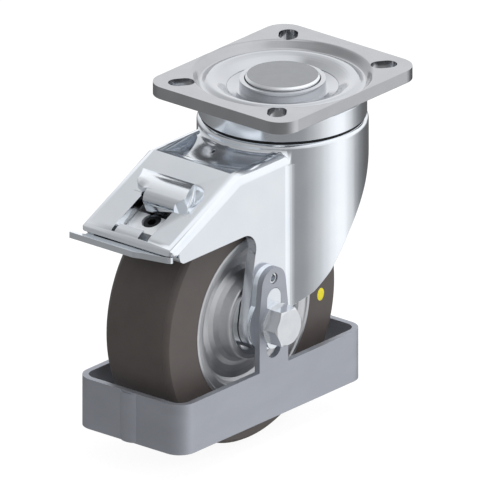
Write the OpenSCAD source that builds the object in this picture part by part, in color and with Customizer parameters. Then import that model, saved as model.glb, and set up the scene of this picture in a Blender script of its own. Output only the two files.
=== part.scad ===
// Heavy-duty swivel castor with a total-lock pedal brake and a height-adjustable foot guard.
// Frame: origin on the swivel axis at the plate's mounting face, +Z up, pedal at -X, axle along Y.

/* [Overall] */
// Height from the floor to the plate's mounting face
overall_h = 165; // [160:1:175]
// Distance from the swivel axis to the axle, along X
offset_x = 45; // [43:0.5:46]

/* [Top plate] */
// Plate length along X
plate_x = 100; // [96:1:120]
// Plate width along Y
plate_y = 85; // [80:1:100]
// Plate sheet thickness
plate_t = 6; // [5.5:0.25:6.5]
// Plate corner radius
plate_corner_r = 10.8; // [6:0.2:14]
// Distance between the outer hole centres along X
hole_pitch_x = 80; // [78:1:84]
// Distance between the outer hole centres along Y
hole_pitch_y = 60; // [58:1:64]
// Width of a mounting slot
slot_w = 9; // [8:0.5:10]
// Travel of a mounting slot towards the plate's centre
slot_travel = 3.5; // [2:0.5:4]
// Radius of the pressed recess at the plate's face
recess_r = 42.8; // [42:0.2:43.4]
// Depth of the recess's round groove
groove_depth = 3.8; // [3:0.2:4.2]
// Depth of the raised ring inside the groove
ridge_depth = 2.2; // [1.6:0.2:2.8]
// Depth of the bowl that the kingpin's head sits in
bowl_depth = 7.5; // [7:0.25:8]

/* [Kingpin] */
// Kingpin head radius
kingpin_head_r = 17.5; // [16:0.25:18]
// Kingpin shank radius
kingpin_r = 10; // [9:0.5:10.5]
// How far the kingpin's head lies below the plate's face
kingpin_sink = 0.5; // [0.3:0.1:1]
// Kingpin nut width across flats
kingpin_nut_af = 30; // [28:1:31]
// Kingpin nut height
kingpin_nut_h = 7; // [6:0.5:8]

/* [Swivel bearing] */
// Outer radius of the race ring under the plate
race_r = 39.3; // [38.6:0.1:39.6]
// Height of the race ring
race_h = 13.1; // [12.5:0.1:13.5]
// Gap between the race ring and the fork's crown
race_gap = 0.8; // [0.6:0.1:1.2]
// Pitch radius of the upper ball row
upper_pitch_r = 34.8; // [34.4:0.1:35]
// Radius of an upper ball
upper_ball_r = 3; // [2.8:0.1:3.1]
// Number of upper balls
upper_balls = 30; // [20:1:32]
// Pitch radius of the lower ball row
lower_pitch_r = 22; // [21.5:0.1:22.5]
// Radius of a lower ball
lower_ball_r = 2.5; // [2.4:0.1:2.6]
// Number of lower balls
lower_balls = 24; // [16:1:26]
// Notches in the swivel lock ring
lock_notches = 24; // [12:12:24]

/* [Fork] */
// Fork sheet thickness
fork_t = 5; // [4.5:0.25:5.25]
// Half the fork's outer width
fork_half_w = 28.2; // [28:0.1:28.4]
// Radius of the fork's round rear wall
fork_r = 40; // [39.7:0.1:40.4]
// Radius of the bend between the hood's faces and its sides
bend_r = 5.2; // [4.8:0.2:6]
// Radius of the hollow blend from a flat side to the round wall
blend_r = 9; // [7:0.5:11]
// Height of the hood's top face
hood_top_z = -24.3; // [-25:0.1:-24]
// Slope of the hood's front face in degrees
slope_deg = 25; // [24:0.5:26]
// Where the hood's top face turns into its slope, along X
crest_x = -65.1; // [-66:0.1:-64]
// Outermost point of the hood's lip along X
lip_x = -114; // [-115:0.5:-113]
// Height of the lip's lower edge
lip_z = -50.1; // [-50.4:0.1:-49.8]
// Height of the side walls' lower edge
side_z = -55.6; // [-57:0.2:-54]
// Radius of the leg's round end
leg_end_r = 14.5; // [13.5:0.25:15]

/* [Hood window] */
// Half the width of the window in the slope
window_half_w = 11; // [9:0.25:12]
// Distance from the crest to the window's upper edge, along the slope
window_s0 = 31.4; // [30:0.2:33]
// Length of the window along the slope
window_len = 20.4; // [18:0.2:21]
// Radius of the pressed bulge's long upper side
bulge_r = 25; // [23:0.5:27]
// How far the bulge stands out from the slope
bulge_h = 4.5; // [4:0.1:4.8]
// Distance from the crest to the bulge's highest line, along the slope
bulge_s = 26.4; // [26.2:0.1:26.8]

/* [Wheel] */
// Wheel diameter
wheel_d = 125; // [122:1:126]
// Wheel width
wheel_w = 40; // [38:0.5:40.5]
// Radius where the tread meets the aluminium rim
rim_r = 40.6; // [40:0.2:42]
// Shoulder radius of the tread
shoulder_r = 5; // [3:0.5:6]
// Distance between the bearings' outer faces
hub_w = 45.6; // [45:0.2:45.8]
// Ball bearing outer radius
bearing_r = 17.5; // [17:0.25:18]
// Ball bearing width
bearing_w = 11; // [10:0.5:11.5]
// Number of balls in a wheel bearing
bearing_balls_n = 8; // [7:1:8]

/* [Axle] */
// Axle bolt radius
bolt_r = 5; // [4.5:0.25:5.5]
// Width across flats of the bolt's head and nut
bolt_af = 17; // [16:1:18]
// Height of the bolt's head
bolt_head_h = 7.4; // [6.4:0.2:8]
// Outer radius of the axle tube
tube_r = 7.5; // [7:0.25:8]
// Thickness of an axle washer
washer_t = 2; // [1.5:0.25:2.5]
// Outer radius of an axle washer
washer_r = 10; // [9.5:0.25:11]

/* [Foot guard] */
// Guard length along X
guard_x = 133; // [131:1:137]
// Guard width along Y
guard_y = 65; // [64.8:0.1:66]
// Guard bar height
guard_h = 25; // [20:1:30]
// Guard bar thickness
guard_t = 3; // [2.5:0.25:3]
// Outer corner radius of the guard
guard_corner_r = 8.8; // [6:0.2:12]
// Clearance from the floor to the guard
guard_floor = 15.2; // [12:0.2:18]
// Width of the guard's upright tongue
tongue_w = 20.6; // [19:0.2:22]
// Height of the tongue's top above the axle
tongue_rise = 27.5; // [25:0.5:29]
// Width of the tongue's slot
guide_w = 10.3; // [9:0.1:11]
// Half the length of the tongue's slot, from the axle to the middle of its end arc
guide_half = 12.2; // [10:0.2:13]
// Radius of the locating pin above the slot
pin_r = 2.5; // [2:0.25:2.75]

/* [Pedal and brake] */
// Pedal sheet thickness
pedal_t = 3; // [2.5:0.25:3.25]
// Half the length of the pedal's foot bar
pedal_half = 28.5; // [26:0.5:30]
// Radius of the stub pins that the pedal turns on
stub_r = 2.5; // [2:0.25:3]
// Radius of the brake lever's pin
lever_pin_r = 3; // [2.5:0.25:3.25]
// Gap between the brake shoe and the tread when released
shoe_gap = 2.3; // [2.2:0.1:3]
// Thickness of the brake shoe
shoe_t = 2.8; // [2.4:0.1:3]
// Radius of the adjusting screw
screw_r = 4; // [3:0.25:4.25]

/* [Fits] */
// Running clearance on pins and bearings
run_fit = 0.05; // [0.02:0.01:0.1]
// Gap that keeps moving pieces apart
move_gap = 0.3; // [0.3:0.05:0.5]

/* [Hidden] */
$fn = 72;

zinc = "#dfe3e8";
guard_zinc = "#b7bac0";
axle_x = -offset_x;
axle_z = wheel_d / 2 - overall_h;
wheel_r = wheel_d / 2;
tan_s = tan(slope_deg);
race_z = -plate_t - race_h;
crown_z = race_z - race_gap;
crown_under_z = crown_z - fork_t;
leg_in = fork_half_w - fork_t;
ceiling_z = hood_top_z - 8;
guard_in = guard_y / 2 - guard_t;
guide_plate_t = guard_in - fork_half_w;
guard_top_z = -overall_h + guard_floor + guard_h;
lower_race_z = crown_under_z - 2.8;
lower_race_h = 5.6;
lock_z = lower_race_z - lower_race_h;
lock_h = 3.5;
lock_r = 25.5;
notch_r = 21.5;
sleeve_r = 14.5;
bowl_floor = -bowl_depth;
bowl_under = bowl_floor - 5;
head_top = -kingpin_sink;

// Pivots of the brake, as [x, z]
lever_p = [-66, -37.2];
pedal_p = [-90, -47.3];
spring_p = [-79, -42];
plate_deg = 22.5;
screw_p = [-94.7, -44.5];
lever_half_w = 13;
lever_t = 2.5;
lever_front_x = -102.4;
arm_x0 = lever_p[0] + 3.2;
arm_x1 = -lock_r - 0.7;

// Places a flat shape drawn in X and Z, as thick as w along Y, from its middle
module along_y(w) {
    rotate([90, 0, 0]) linear_extrude(w, center = true) children();
}

// Places a flat shape drawn in X and Z between two Y positions
module between_y(y0, y1) {
    translate([0, y1, 0]) rotate([90, 0, 0]) linear_extrude(y1 - y0) children();
}

// Places a section drawn in Y and Z between two X positions
module along_x(x0, x1) {
    translate([x0, 0, 0]) rotate([90, 0, 90]) linear_extrude(x1 - x0) children();
}

// A round bar along Y through the point [x, z]
module bar_y(p, r, y0, y1) {
    translate([p[0], y1, p[1]]) rotate([90, 0, 0]) cylinder(r = r, h = y1 - y0);
}

// A ring turned about the axle, between two radii and two Y positions
module axle_ring(r_out, r_in, y0, y1) {
    difference() {
        bar_y([axle_x, axle_z], r_out, y0, y1);
        bar_y([axle_x, axle_z], r_in, y0 - 1, y1 + 1);
    }
}

// A section drawn as [radius, y], turned about the axle
module turn_axle() {
    translate([axle_x, 0, axle_z]) rotate([-90, 0, 0]) rotate_extrude($fn = 120) children();
}

// Both sides of the wheel
module both_sides() {
    for (side = [0, 1]) mirror([0, side, 0]) children();
}

// Frame of the hood's slope: x runs up the slope from the crest, z stands out of it
module on_slope() {
    translate([crest_x, 0, hood_top_z]) rotate([0, -slope_deg, 0]) children();
}

/* Plate body */

module plate_outline() {
    hx = plate_x / 2 - plate_corner_r;
    hy = plate_y / 2 - plate_corner_r;
    square([2 * hx, plate_y], center = true);
    square([plate_x, 2 * hy], center = true);
    for (sx = [-1, 1], sy = [-1, 1]) translate([sx * hx, sy * hy]) circle(plate_corner_r);
}

module mounting_slot() {
    turn = atan2(hole_pitch_y, hole_pitch_x);
    translate([hole_pitch_x / 2, hole_pitch_y / 2]) rotate(turn) {
        circle(d = slot_w);
        translate([-slot_travel, 0]) circle(d = slot_w);
        translate([-slot_travel, -slot_w / 2]) square([slot_travel, slot_w]);
    }
}

// Upper line of the pressed recess, from its rim to the collar, as [radius, z]
function wave(r0, z0, r1, z1, n) = [for (i = [0:n]) let (t = i / n)
    [r0 + (r1 - r0) * t, z0 + (z1 - z0) * (1 - cos(180 * t)) / 2]];

module recess_section() {
    groove_r = recess_r - 4.6;
    ridge_r = groove_r - 4;
    bowl_r = kingpin_head_r + 4;
    polygon(concat(
        [[0, 1], [recess_r, 1]],
        wave(recess_r, 0, groove_r, -groove_depth, 8),
        wave(groove_r, -groove_depth, ridge_r, -ridge_depth, 6),
        wave(ridge_r, -ridge_depth, bowl_r, bowl_floor, 10),
        [[0, bowl_floor]]
    ));
}

module top_plate() {
    collar_in = kingpin_head_r + 0.4;
    color(zinc) difference() {
        union() {
            difference() {
                translate([0, 0, -plate_t]) linear_extrude(plate_t) plate_outline();
                rotate_extrude($fn = 120) recess_section();
            }
            rotate_extrude($fn = 120) polygon([
                [0, bowl_floor], [kingpin_head_r + 4.2, bowl_floor], [29, -5.2], [29.8, -plate_t],
                [27, bowl_under], [0, bowl_under]
            ]);
            translate([0, 0, bowl_floor]) difference() {
                cylinder(r = collar_in + 2.3, h = bowl_depth - 2.2);
                translate([0, 0, -1]) cylinder(r = collar_in, h = bowl_depth);
            }
        }
        for (mx = [0, 1], my = [0, 1]) mirror([mx, 0, 0]) mirror([0, my, 0])
            translate([0, 0, -plate_t - 1]) linear_extrude(plate_t + 2) mounting_slot();
        translate([0, 0, bowl_under - 1]) cylinder(r = kingpin_r, h = 20);
    }
}

module kingpin() {
    end_z = lock_z - lock_h - kingpin_nut_h - 0.5;
    color("#b4b7bb") rotate_extrude($fn = 120) polygon([
        [0, head_top], [kingpin_head_r - 0.85, head_top], [kingpin_head_r, head_top - 0.85],
        [kingpin_head_r, bowl_floor], [kingpin_r, bowl_floor], [kingpin_r, end_z + 1],
        [kingpin_r - 1, end_z], [0, end_z]
    ]);
}

module race_ring() {
    color(zinc) difference() {
        rotate_extrude($fn = 120) difference() {
            polygon([
                [30, -plate_t], [race_r - 2.1, -plate_t], [race_r, -plate_t - 3],
                [race_r, race_z + 0.6], [race_r - 0.6, race_z], [30, race_z]
            ]);
            translate([upper_pitch_r, crown_z + upper_ball_r - 0.8]) circle(upper_ball_r + run_fit);
        }
    }
}

module kingpin_sleeve() {
    color("#8d9094") translate([0, 0, lower_race_z]) difference() {
        cylinder(r = sleeve_r, h = bowl_under - lower_race_z);
        translate([0, 0, -1]) cylinder(r = kingpin_r + run_fit, h = 40);
    }
}

module lower_race() {
    color("#9a9da1") difference() {
        translate([0, 0, lock_z]) cylinder(r = lower_pitch_r + 5, h = lower_race_h);
        translate([0, 0, lock_z - 1]) cylinder(r = kingpin_r + run_fit, h = 20);
        rotate_extrude() translate([lower_pitch_r, crown_under_z - lower_ball_r + 0.5])
            circle(lower_ball_r + run_fit);
    }
}

module lock_ring() {
    color("#7d8084") translate([0, 0, lock_z - lock_h]) difference() {
        cylinder(r = lock_r, h = lock_h);
        translate([0, 0, -1]) cylinder(r = kingpin_r + run_fit, h = lock_h + 2);
        for (i = [0:lock_notches - 1]) rotate(i * 360 / lock_notches)
            translate([notch_r, -2.1, -1]) cube([10, 4.2, lock_h + 2]);
    }
}

module kingpin_nut() {
    color("#c9b88a") translate([0, 0, lock_z - lock_h - kingpin_nut_h]) difference() {
        cylinder(d = kingpin_nut_af / cos(30), h = kingpin_nut_h, $fn = 6);
        translate([0, 0, -1]) cylinder(r = kingpin_r, h = kingpin_nut_h + 2);
    }
}

/* Fork body */

// A section with two rounded top corners, drawn in Y and Z
module rounded_top(half_w, top, r, bottom) {
    translate([-half_w, bottom]) square([2 * half_w, top - r - bottom]);
    translate([-half_w + r, bottom]) square([2 * (half_w - r), top - bottom]);
    for (s = [-1, 1]) translate([s * (half_w - r), top - r]) circle(r);
}

// Side view of the fork, drawn in X and Z
module fork_side() {
    corner = 4;
    inner = 8.5;
    leg_x = -52.6;
    difference() {
        polygon([
            [lip_x, 0], [lip_x, lip_z], [lip_x + fork_t + 0.9, lip_z], [lip_x + fork_t + 1, lip_z - 1.5],
            [lip_x + 7, side_z + 1.2], [lip_x + 10, side_z],
            [leg_x - inner, side_z], [leg_x - inner, side_z - inner], [leg_x, side_z - inner],
            [leg_x - 6.6, axle_z + 3], [axle_x, axle_z],
            [axle_x + leg_end_r * 0.62, axle_z - leg_end_r * 0.78],
            [-28, -100.5], [-19, -94], [-10.9, -85.3], [0, -69.2], [5.5, -62.4], [16.5, -49.6],
            [25.7, -37.5], [34, -26.5], [fork_r + 1, -20], [fork_r + 1, 0]
        ]);
        translate([leg_x - inner, side_z - inner]) circle(inner);
    }
    translate([lip_x + 10, side_z + corner]) circle(corner);
    translate([axle_x, axle_z]) circle(leg_end_r);
}

// Plan of the round wall with the blends to the flat sides, w inside the outer face
module round_plan(w) {
    cx = -sqrt(pow(fork_r + blend_r, 2) - pow(fork_half_w + blend_r, 2));
    cy = fork_half_w + blend_r;
    k = fork_r / (fork_r + blend_r);
    circle(fork_r - w, $fn = 120);
    for (s = [-1, 1]) difference() {
        polygon([[cx, 0], [cx, s * cy], [cx * k, s * cy * k], [0, 0]]);
        translate([cx, s * cy]) circle(blend_r + w);
    }
}

// Plan of the hood with rounded front corners, w inside the outer face
module hood_plan(w) {
    x0 = lip_x + w;
    hw = fork_half_w - w;
    r = max(bend_r - w, 0.6);
    translate([x0 + r, -hw]) square([-x0 - r - 20, 2 * hw]);
    translate([x0, -hw + r]) square([r + 1, 2 * (hw - r)]);
    for (s = [-1, 1]) translate([x0 + r, s * (hw - r)]) circle(r);
}

// The hood as a solid, w inside its outer faces, under a top at the height top
module hood_solid(w, top) {
    r = max(bend_r - w, 0.6);
    intersection() {
        translate([0, 0, -125]) linear_extrude(125) hood_plan(w);
        along_x(-130, 0) rounded_top(fork_half_w - w, top, r, -130);
        on_slope() along_x(-80, 90) rounded_top(fork_half_w - w, -w, r, -160);
        along_y(100) lip_side(w);
    }
}

// The lip's rolled edge: everything behind a roll at the slope's foot, drawn in X and Z
module lip_side(w) {
    r = bend_r + 3;
    x0 = lip_x + w;
    roll = r - w;
    // Middle of the roll: tangent to the slope's plane and to the lip's face
    mx = lip_x + r;
    mz = hood_top_z + (mx - crest_x) * tan_s - r / cos(slope_deg);
    translate([mx, mz]) circle(roll);
    translate([x0, -140]) square([200, mz + 140]);
    translate([mx - roll * sin(slope_deg), -140]) square([220, 140]);
}

module fork_outer() {
    intersection() {
        hood_solid(0, hood_top_z);
        along_y(100) fork_side();
    }
    intersection() {
        translate([0, 0, -125]) linear_extrude(125 + hood_top_z - bend_r) round_plan(0);
        along_y(100) fork_side();
    }
}

module fork_hollow() {
    hood_solid(fork_t, ceiling_z);
    translate([0, 0, -126]) linear_extrude(126 + crown_under_z) circle(fork_r - fork_t, $fn = 120);
    translate([0, 0, -126]) linear_extrude(126 + ceiling_z) round_plan(fork_t);
}

// The crown's round edge, above the hood's top
module crown() {
    edge = 2.4;
    rotate_extrude($fn = 120) {
        translate([0, crown_under_z - 12]) square([fork_r, crown_z - edge - crown_under_z + 12]);
        translate([0, crown_z - edge - 1]) square([fork_r - edge, edge + 1]);
        translate([fork_r - edge, crown_z - edge]) circle(edge);
    }
}

// The sunk floor between the crown and the hood's crest
module pocket() {
    r = 16;
    depth = 4.6;
    half = sqrt(r * r - pow(r - depth, 2));
    mid = -crest_x - 0.9 - half;
    intersection() {
        translate([-70, -leg_in + 1.2, -60]) cube([46, 2 * (leg_in - 1.2), 60]);
        union() {
            bar_y([-mid, hood_top_z + r - depth], r, -40, 40);
            rotate_extrude($fn = 120) translate([mid, hood_top_z + r - depth]) circle(r);
        }
    }
}

// Side view of the bulge on the slope: a long rise, then a tight roll over the window
module bulge_side(w) {
    roll = window_s0 - bulge_s;
    translate([-bulge_s, bulge_h - bulge_r]) intersection() {
        circle(bulge_r - w, $fn = 120);
        square(2 * bulge_r);
    }
    translate([-bulge_s, bulge_h - roll]) circle(roll - w);
    translate([-window_s0 + w, bulge_h - roll - 16]) square([roll - w, 16]);
}

// Places its children at the bulge's sheared end, turned to the line of the cut
module at_shear() {
    translate([-18.4, -13.6, 0]) rotate([0, 0, 25.4]) children();
}

// Bulge pressed out of the slope, w inside its outer face; sheared at its -Y end
module bulge(w) {
    soft = 6;
    length = 27.1;
    intersection() {
        along_y(80) bulge_side(w);
        at_shear() along_x(-40, 40) {
            translate([w, -20]) square([length - soft - w, 20 + bulge_h + 1]);
            translate([w, -20]) square([length + soft - 3 - w, 18]);
            translate([length - 3, bulge_h - soft]) circle(soft - w);
        }
    }
}

// Dish beside the bulge's sheared end
module shear_dish() {
    dish_r = 8.5;
    depth = 3.4;
    r = (dish_r * dish_r + depth * depth) / (2 * depth);
    intersection() {
        translate([-19.9, -12.3, r - depth]) sphere(r = r);
        at_shear() translate([-40, -30, -10]) cube([80, 30, 20]);
    }
}

// Relief cuts at the two ends of the bulge's lower edge
module relief_cuts() {
    cut_x = -bulge_s + 0.7;
    translate([-window_s0 - 1, 5.9, -14]) cube([window_s0 + 1 + cut_x, window_half_w - 0.8 - 5.9, 28]);
    translate([-27.6, -window_half_w - 3.2, -14]) cube([2.7, 2.8, 28]);
}

module window() {
    depth = 14;
    s1 = window_s0 + window_len;
    tab_s = s1 - 5.2;
    translate([-tab_s, -window_half_w - 0.8, -depth])
        cube([tab_s - window_s0, 2 * window_half_w, depth * 2]);
    translate([-s1, window_half_w - 2.8, -depth]) cube([6, 2, depth * 2]);
    translate([-s1, -window_half_w - 0.8, -depth]) cube([6, 6, depth * 2]);
}

module fork() {
    color(zinc) difference() {
        union() {
            difference() {
                fork_outer();
                pocket();
            }
            intersection() {
                crown();
                translate([0, 0, -80]) linear_extrude(80) circle(fork_r, $fn = 120);
                along_y(100) fork_side();
            }
            on_slope() difference() {
                bulge(0);
                translate([-60, -40, -30]) cube([80, 80, 30 - bend_r]);
                translate([-60, 5.9, -30]) cube([60 - bulge_s + 0.7, 40, 60]);
            }
        }
        difference() {
            fork_hollow();
            on_slope() intersection() {
                bulge(0);
                at_shear() translate([-40, 0, -30]) cube([80, 4, 60]);
                translate([-window_s0 - 1, -40, -fork_t]) cube([40, 80, 20]);
            }
        }
        on_slope() intersection() {
            bulge(4);
            translate([-60, -30, -12]) cube([80, 60, 30]);
        }
        on_slope() shear_dish();
        on_slope() relief_cuts();
        on_slope() window();
        translate([0, 0, -60]) cylinder(r = sleeve_r + 2, h = 60);
        rotate_extrude($fn = 120) translate([upper_pitch_r, crown_z + upper_ball_r - 0.8])
            circle(upper_ball_r + run_fit);
        rotate_extrude($fn = 120) translate([lower_pitch_r, crown_under_z - lower_ball_r + 0.5])
            circle(lower_ball_r + run_fit);
        translate([-44.4, 4.6, -40]) cylinder(r = 0.9, h = 30);
        bar_y([axle_x, axle_z], bolt_r + 0.25, -60, 60);
        bar_y(lever_p, lever_pin_r, -leg_in - 2, leg_in + 2);
        bar_y(pedal_p, stub_r, -leg_in - 2, leg_in + 2);
    }
}

module swivel_seal() {
    color("#26282b") translate([0, 0, crown_z]) difference() {
        cylinder(r = race_r - 0.7, h = race_gap - move_gap, $fn = 240);
        translate([0, 0, -1]) cylinder(r = upper_pitch_r + upper_ball_r, h = 3, $fn = 240);
    }
}

module ball_row(n, pitch, r, z) {
    for (i = [0:n - 1]) rotate((i + 0.5) * 360 / n) translate([pitch, 0, z]) sphere(r = r, $fn = 24);
}

module upper_balls_row() {
    color("silver") ball_row(upper_balls, upper_pitch_r, upper_ball_r, crown_z + upper_ball_r - 0.8);
}

module lower_balls_row() {
    color("silver") ball_row(lower_balls, lower_pitch_r, lower_ball_r, crown_under_z - lower_ball_r + 0.5);
}

/* Brake */

module brake_lever_pin() {
    color("#8d9094") bar_y(lever_p, lever_pin_r, -leg_in - 2, leg_in + 2);
}

module pedal_stub_pins() {
    color("#8d9094") both_sides() bar_y(pedal_p, stub_r, leg_in - 5.8, leg_in + 2);
}

// Line of the pedal's upper face: a height for each X
function pedal_z(x) = -49.6 - (x + 120) * tan(8);

module pedal_plan() {
    x0 = lip_x - 6;
    neck = leg_in - 0.6;
    difference() {
        union() {
            polygon([
                [x0, pedal_half], [x0, -9.5], [x0 + 0.5, -11], [x0 + 1.6, -12.6], [x0 + 2.1, -14],
                [x0 + 6.2, -26], [x0 + 9, -neck], [x0 + 23, -neck], [x0 + 23, neck],
                [x0 + 9, neck], [x0 + 3.6, neck - 0.6], [x0 + 1.7, pedal_half]
            ]);
            translate([x0 + 8.2, -25]) circle(2);
        }
        translate([x0 + 16.4, -14.5]) square([20, 29]);
    }
}

module pedal() {
    lug_r = 4.9;
    lug_in = leg_in - 5.2;
    lug_out = leg_in - 1.4;
    color(zinc) difference() {
        union() {
            intersection() {
                translate([0, 0, -70]) linear_extrude(40) pedal_plan();
                along_y(80) polygon([
                    [-125, pedal_z(-125)], [-90, pedal_z(-90)],
                    [-90, pedal_z(-90) - pedal_t], [-125, pedal_z(-125) - pedal_t]
                ]);
            }
            both_sides() between_y(lug_in, lug_out) {
                translate(pedal_p) circle(lug_r);
                polygon([
                    [-104, pedal_z(-104)], [-104, pedal_z(-104) - pedal_t], [-97, pedal_z(-97) - pedal_t],
                    [pedal_p[0] + 3, pedal_p[1] - 3.8], [pedal_p[0] - 2, pedal_p[1] + 4.4]
                ]);
            }
        }
        bar_y(pedal_p, stub_r + run_fit, -40, 40);
    }
}

// Upper line of the lever's plate: a height for each X
function lever_top(x) = screw_p[1] + (x - screw_p[0]) * tan(plate_deg);

module lever_flange() {
    difference() {
        union() {
            translate(lever_p) circle(4.2);
            translate(spring_p) circle(4.6);
            polygon([
                [lever_p[0], lever_p[1] + 4.2], [lever_p[0] - 6, -34.4], [spring_p[0], -38.4],
                [screw_p[0], lever_top(screw_p[0])], [lever_front_x, lever_top(lever_front_x)],
                [lever_front_x, -57.4], [-86, -52], [spring_p[0], spring_p[1] - 4.6],
                [lever_p[0], lever_p[1] - 4.2]
            ]);
            polygon([
                [lever_p[0], lever_p[1] + 4.2], [arm_x0 + 6, -35.8], [arm_x0 + 6, -38],
                [lever_p[0], lever_p[1] - 4.2]
            ]);
        }
        translate([axle_x, axle_z]) circle(wheel_r + shoe_gap + shoe_t, $fn = 120);
        translate([axle_x, axle_z]) circle(wheel_r + 1.9, $fn = 120);
    }
    translate(spring_p) circle(4.6);
    translate(lever_p) circle(4.2);
}

// Side view of the arm that reaches back over the wheel to the lock ring
module arm_side() {
    polygon([
        [arm_x0, -38], [axle_x, -38], [arm_x1, -39.2], [arm_x1, -37], [axle_x, -35.8], [arm_x0, -35.8]
    ]);
}

module brake_lever() {
    x0 = lever_front_x;
    nose_z = -55.5;
    color(zinc) difference() {
        union() {
            both_sides() between_y(lever_half_w - lever_t, lever_half_w) lever_flange();
            along_y(2 * lever_half_w) polygon([
                [-91.5, lever_top(-91.5)], [x0, lever_top(x0)], [x0, nose_z], [-106, nose_z],
                [-106, nose_z - lever_t], [x0 + lever_t, nose_z - lever_t],
                [x0 + lever_t, lever_top(x0 + lever_t) - lever_t], [-91.5, lever_top(-91.5) - lever_t]
            ]);
            intersection() {
                along_y(2 * lever_half_w) arm_side();
                union() {
                    translate([arm_x0, -lever_half_w, -60]) cube([6, 2 * lever_half_w, 40]);
                    translate([arm_x0, -7, -60]) cube([40, 14, 40]);
                }
            }
            // Tooth that enters a notch of the lock ring
            translate([arm_x1 - 2, -1.7, -39]) cube([5.6, 3.4, lock_z - lock_h - move_gap + 39]);
        }
        bar_y(lever_p, lever_pin_r + run_fit, -40, 40);
        bar_y(spring_p, lever_pin_r, -40, 40);
        translate([screw_p[0], 0, screw_p[1]]) rotate([0, -plate_deg, 0])
            translate([0, 0, -6]) cylinder(r = screw_r + 0.75, h = 12);
        for (s = [-1, 1]) translate([-107, s * 20 - 12, nose_z - 4]) cube([4.5, 24, 8]);
    }
}

module brake_shoe() {
    r0 = wheel_r + shoe_gap;
    color("#55585c") intersection() {
        axle_ring(r0 + shoe_t, r0, -12, 12);
        translate([-94, -20, -70]) cube([10, 40, 40]);
    }
}

module adjusting_nut() {
    color(zinc) translate([screw_p[0], 0, screw_p[1]]) rotate([0, -plate_deg, 0]) difference() {
        translate([0, 0, -6.1]) rotate([0, 0, 30]) cylinder(d = 13 / cos(30), h = 6.1 - lever_t, $fn = 6);
        translate([0, 0, -10]) cylinder(r = screw_r, h = 12);
    }
}

module adjusting_screw() {
    color("#2b2e30") translate([screw_p[0], 0, screw_p[1]]) rotate([0, -plate_deg, 0]) difference() {
        translate([0, 0, -6.7]) cylinder(r = screw_r, h = 5.9);
        translate([0, 0, -4.4]) cylinder(d = 4 / cos(30), h = 10, $fn = 6);
    }
}

module spring_pin() {
    color("#8d9094") bar_y(spring_p, lever_pin_r, -lever_half_w - 0.8, lever_half_w + 0.8);
}

// Coil of the return spring: one closed tube swept along a helix about Y
module return_spring() {
    turns = 8;
    steps = 20;
    sides = 8;
    wire = 0.85;
    mean = lever_pin_r + 0.3 + wire;
    half = lever_half_w - lever_t - 1.2;
    n = turns * steps;
    points = [for (i = [0:n], j = [0:sides - 1]) let (
        a = 360 * i / steps, b = 360 * j / sides, rr = mean + wire * cos(b)
    ) [rr * cos(a), -half + 2 * half * i / n + wire * sin(b), rr * sin(a)]];
    skin = [for (i = [0:n - 1], j = [0:sides - 1]) let (k = (j + 1) % sides)
        [i * sides + j, i * sides + k, (i + 1) * sides + k, (i + 1) * sides + j]];
    ends = [[for (j = [0:sides - 1]) sides - 1 - j], [for (j = [0:sides - 1]) n * sides + j]];
    color("#6f7276") translate([spring_p[0], 0, spring_p[1]]) polyhedron(points, concat(skin, ends));
}

/* Wheel body */

module tread() {
    hw = wheel_w / 2;
    top = wheel_r - 0.9;
    color("#5a5251") turn_axle() {
        difference() {
            union() {
                translate([rim_r, -hw]) square([top - shoulder_r - rim_r, wheel_w]);
                translate([rim_r, -hw + shoulder_r]) square([top - rim_r, wheel_w - 2 * shoulder_r]);
                for (s = [-1, 1]) translate([top - shoulder_r, s * (hw - shoulder_r)]) circle(shoulder_r);
                intersection() {
                    translate([wheel_r - 150, 0]) circle(150, $fn = 240);
                    translate([wheel_r - 20, -hw + shoulder_r - 1.2]) square([30, wheel_w - 2 * shoulder_r + 2.4]);
                }
            }
            for (s = [-1, 1]) polygon([
                [rim_r - 1, s * hw], [rim_r + 0.6, s * hw], [wheel_r, s * (hw - 1.1)], [wheel_r, s * (hw + 2)],
                [rim_r - 1, s * (hw + 2)]
            ]);
        }
    }
}

module wheel_centre() {
    hw = wheel_w / 2 + 0.15;
    seat = hub_w / 2 - bearing_w;
    hub = hub_w / 2 - 1;
    half = [
        [bearing_r - 3, seat], [bearing_r, seat], [bearing_r, hub], [19.7, hub], [20.2, hub - 0.5],
        [21.4, 16.8], [22.8, 14.6], [25, 13.3], [28, 12.9],
        [rim_r - 9.6, 13.2], [rim_r - 8.2, 14.6], [rim_r - 7, 17.4],
        [rim_r - 6, 18.6], [rim_r - 4.2, 19.1], [rim_r - 2.1, hw - 0.7],
        [rim_r - 1.5, hw], [rim_r, hw]
    ];
    color("#a4a6a8") turn_axle()
        polygon(concat(half, [for (i = [len(half) - 1:-1:0]) [half[i][0], -half[i][1]]]));
}

module bearing_outer_rings() {
    color("#b9bcc0") both_sides() turn_axle() difference() {
        translate([bearing_r - 3.2, hub_w / 2 - bearing_w]) square([3.2, bearing_w]);
        translate([12.5, hub_w / 2 - bearing_w / 2]) circle(3 + run_fit);
    }
}

module bearing_inner_rings() {
    color("#b9bcc0") both_sides() turn_axle() difference() {
        translate([tube_r + run_fit, hub_w / 2 - bearing_w]) square([3, bearing_w]);
        translate([12.5, hub_w / 2 - bearing_w / 2]) circle(3 + run_fit);
    }
}

module bearing_balls() {
    color("silver") both_sides() for (i = [0:bearing_balls_n - 1])
        translate([axle_x, hub_w / 2 - bearing_w / 2, axle_z]) rotate([0, (i + 0.5) * 360 / bearing_balls_n, 0])
            translate([12.5, 0, 0]) sphere(r = 3, $fn = 24);
}

module bearing_seals() {
    color("#1d1f21") both_sides() axle_ring(bearing_r - 3.2, tube_r + 3.5, hub_w / 2 - 1.2, hub_w / 2 - 0.4);
}

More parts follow.
